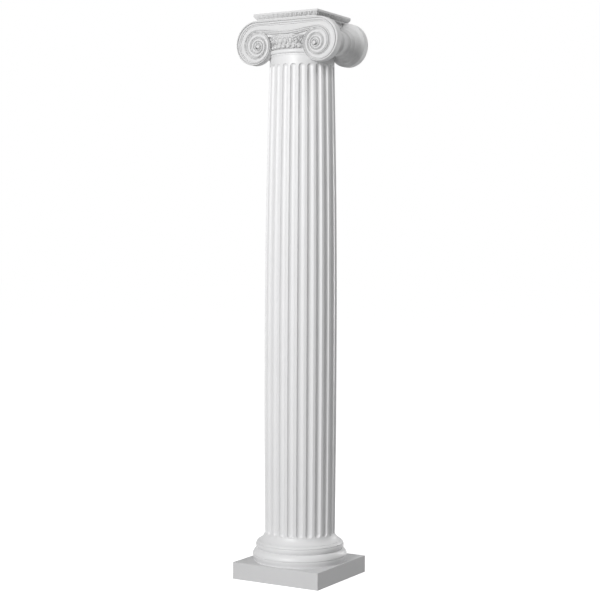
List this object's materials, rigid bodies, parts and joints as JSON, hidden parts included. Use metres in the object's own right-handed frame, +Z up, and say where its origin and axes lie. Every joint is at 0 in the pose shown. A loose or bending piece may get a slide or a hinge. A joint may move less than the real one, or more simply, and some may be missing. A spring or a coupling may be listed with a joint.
{
  "type": "three-quarter fluted column",
  "caption": "Ionic column, three-quarter round and hollow, with fluted shaft, scrolled capital, rolled base and square plinth, open behind for a wall corner.",
  "frame": {"origin": "on the column's axis, at the underside of the plinth", "axes": "+Z up along the column; -Y towards the front, which shows both scrolls; the open quarter lies at -X and +Y"},
  "size_m": [0.5014, 0.423, 2.438],
  "materials": {
    "painted_plinth": "matt white primer on a moulded slab",
    "painted_base": "satin white primer on a moulding",
    "painted_shaft": "satin white primer on a moulded shaft",
    "painted_capital": "matt white cast surface"
  },
  "bodies": {
    "root": {"plinth": "painted_plinth", "base_moulding": "painted_base", "shaft": "painted_shaft", "capital": "painted_capital"}
  },
  "joints": []
}
